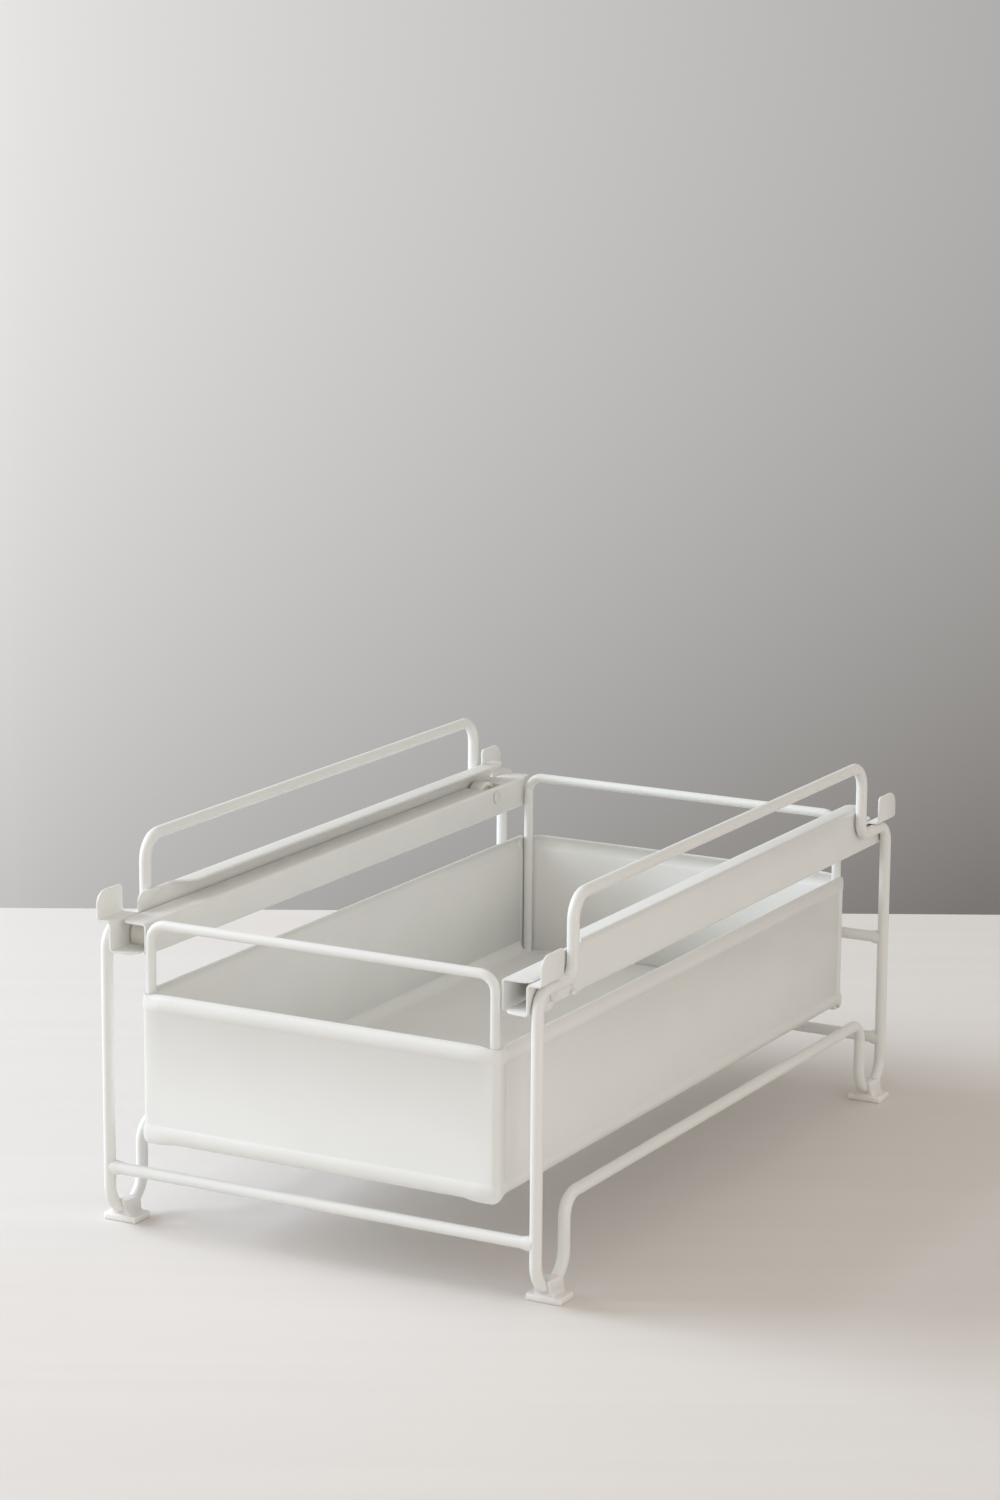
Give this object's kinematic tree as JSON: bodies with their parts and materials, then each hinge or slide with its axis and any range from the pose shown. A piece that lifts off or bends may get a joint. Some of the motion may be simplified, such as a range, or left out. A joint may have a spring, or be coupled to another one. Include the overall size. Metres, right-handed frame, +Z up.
{
  "type": "wire storage organizer with drawer",
  "caption": "Free-standing bent-wire storage organizer with a sheet-steel drawer that pulls out on roller rails under raised side guards, with stacking tabs and clip-on foot caps.",
  "frame": {"origin": "on the floor, under the middle of the part's bounding box", "axes": "+X to the right and +Y to the back as seen by someone who faces the drawer, +Z up"},
  "size_m": [0.2158, 0.342, 0.1627],
  "materials": {
    "powder_coat": "off-white powder coat, satin with a faint orange peel",
    "milky_plastic": "milky, slightly translucent moulded plastic",
    "nylon": "smooth white nylon",
    "coated_rivet": "off-white coated steel"
  },
  "bodies": {
    "frame": {"left_side_frame": "powder_coat", "right_side_frame": "powder_coat", "front_cross_bar": "powder_coat", "rear_lower_cross_bar": "powder_coat", "rear_upper_cross_bar": "powder_coat", "left_fixed_rail": "powder_coat", "right_fixed_rail": "powder_coat", "front_left_foot_cap": "milky_plastic", "front_right_foot_cap": "milky_plastic", "rear_left_foot_cap": "milky_plastic", "rear_right_foot_cap": "milky_plastic", "front_left_roller_rivet": "coated_rivet", "front_right_roller_rivet": "coated_rivet"},
    "drawer": {"drawer_tray": "powder_coat", "drawer_front_panel": "powder_coat", "drawer_back_panel": "powder_coat", "front_wire_hoop": "powder_coat", "rear_wire_hoop": "powder_coat", "left_drawer_rail": "powder_coat", "right_drawer_rail": "powder_coat", "rear_left_roller_rivet": "coated_rivet", "rear_right_roller_rivet": "coated_rivet"},
    "front_left_wheel": {"front_left_roller": "nylon"},
    "front_right_wheel": {"front_right_roller": "nylon"},
    "rear_left_wheel": {"rear_left_roller": "nylon"},
    "rear_right_wheel": {"rear_right_roller": "nylon"}
  },
  "joints": [
    {"name": "drawer_slide", "type": "slide", "parent": "frame", "child": "drawer", "axis": [0, -1, 0], "range_m": [0, 0.25]},
    {"name": "front_left_roller_spin", "type": "hinge", "parent": "frame", "child": "front_left_wheel", "pos_m": [-0.0923, -0.151, 0.1227], "axis": [1, 0, 0], "range_deg": [-10, 2060]},
    {"name": "front_right_roller_spin", "type": "hinge", "parent": "frame", "child": "front_right_wheel", "pos_m": [0.0923, -0.151, 0.1227], "axis": [1, 0, 0], "range_deg": [-10, 2060]},
    {"name": "rear_left_roller_spin", "type": "hinge", "parent": "drawer", "child": "rear_left_wheel", "pos_m": [-0.0908, 0.131, 0.1264], "axis": [1, 0, 0], "range_deg": [-10, 2060]},
    {"name": "rear_right_roller_spin", "type": "hinge", "parent": "drawer", "child": "rear_right_wheel", "pos_m": [0.0908, 0.131, 0.1264], "axis": [1, 0, 0], "range_deg": [-10, 2060]}
  ],
  "couplings": [
    {"joint": "front_left_roller_spin", "follows": "drawer_slide", "rad_per_m": 142.86},
    {"joint": "front_right_roller_spin", "follows": "drawer_slide", "rad_per_m": 142.86},
    {"joint": "rear_left_roller_spin", "follows": "drawer_slide", "rad_per_m": 142.86},
    {"joint": "rear_right_roller_spin", "follows": "drawer_slide", "rad_per_m": 142.86}
  ]
}
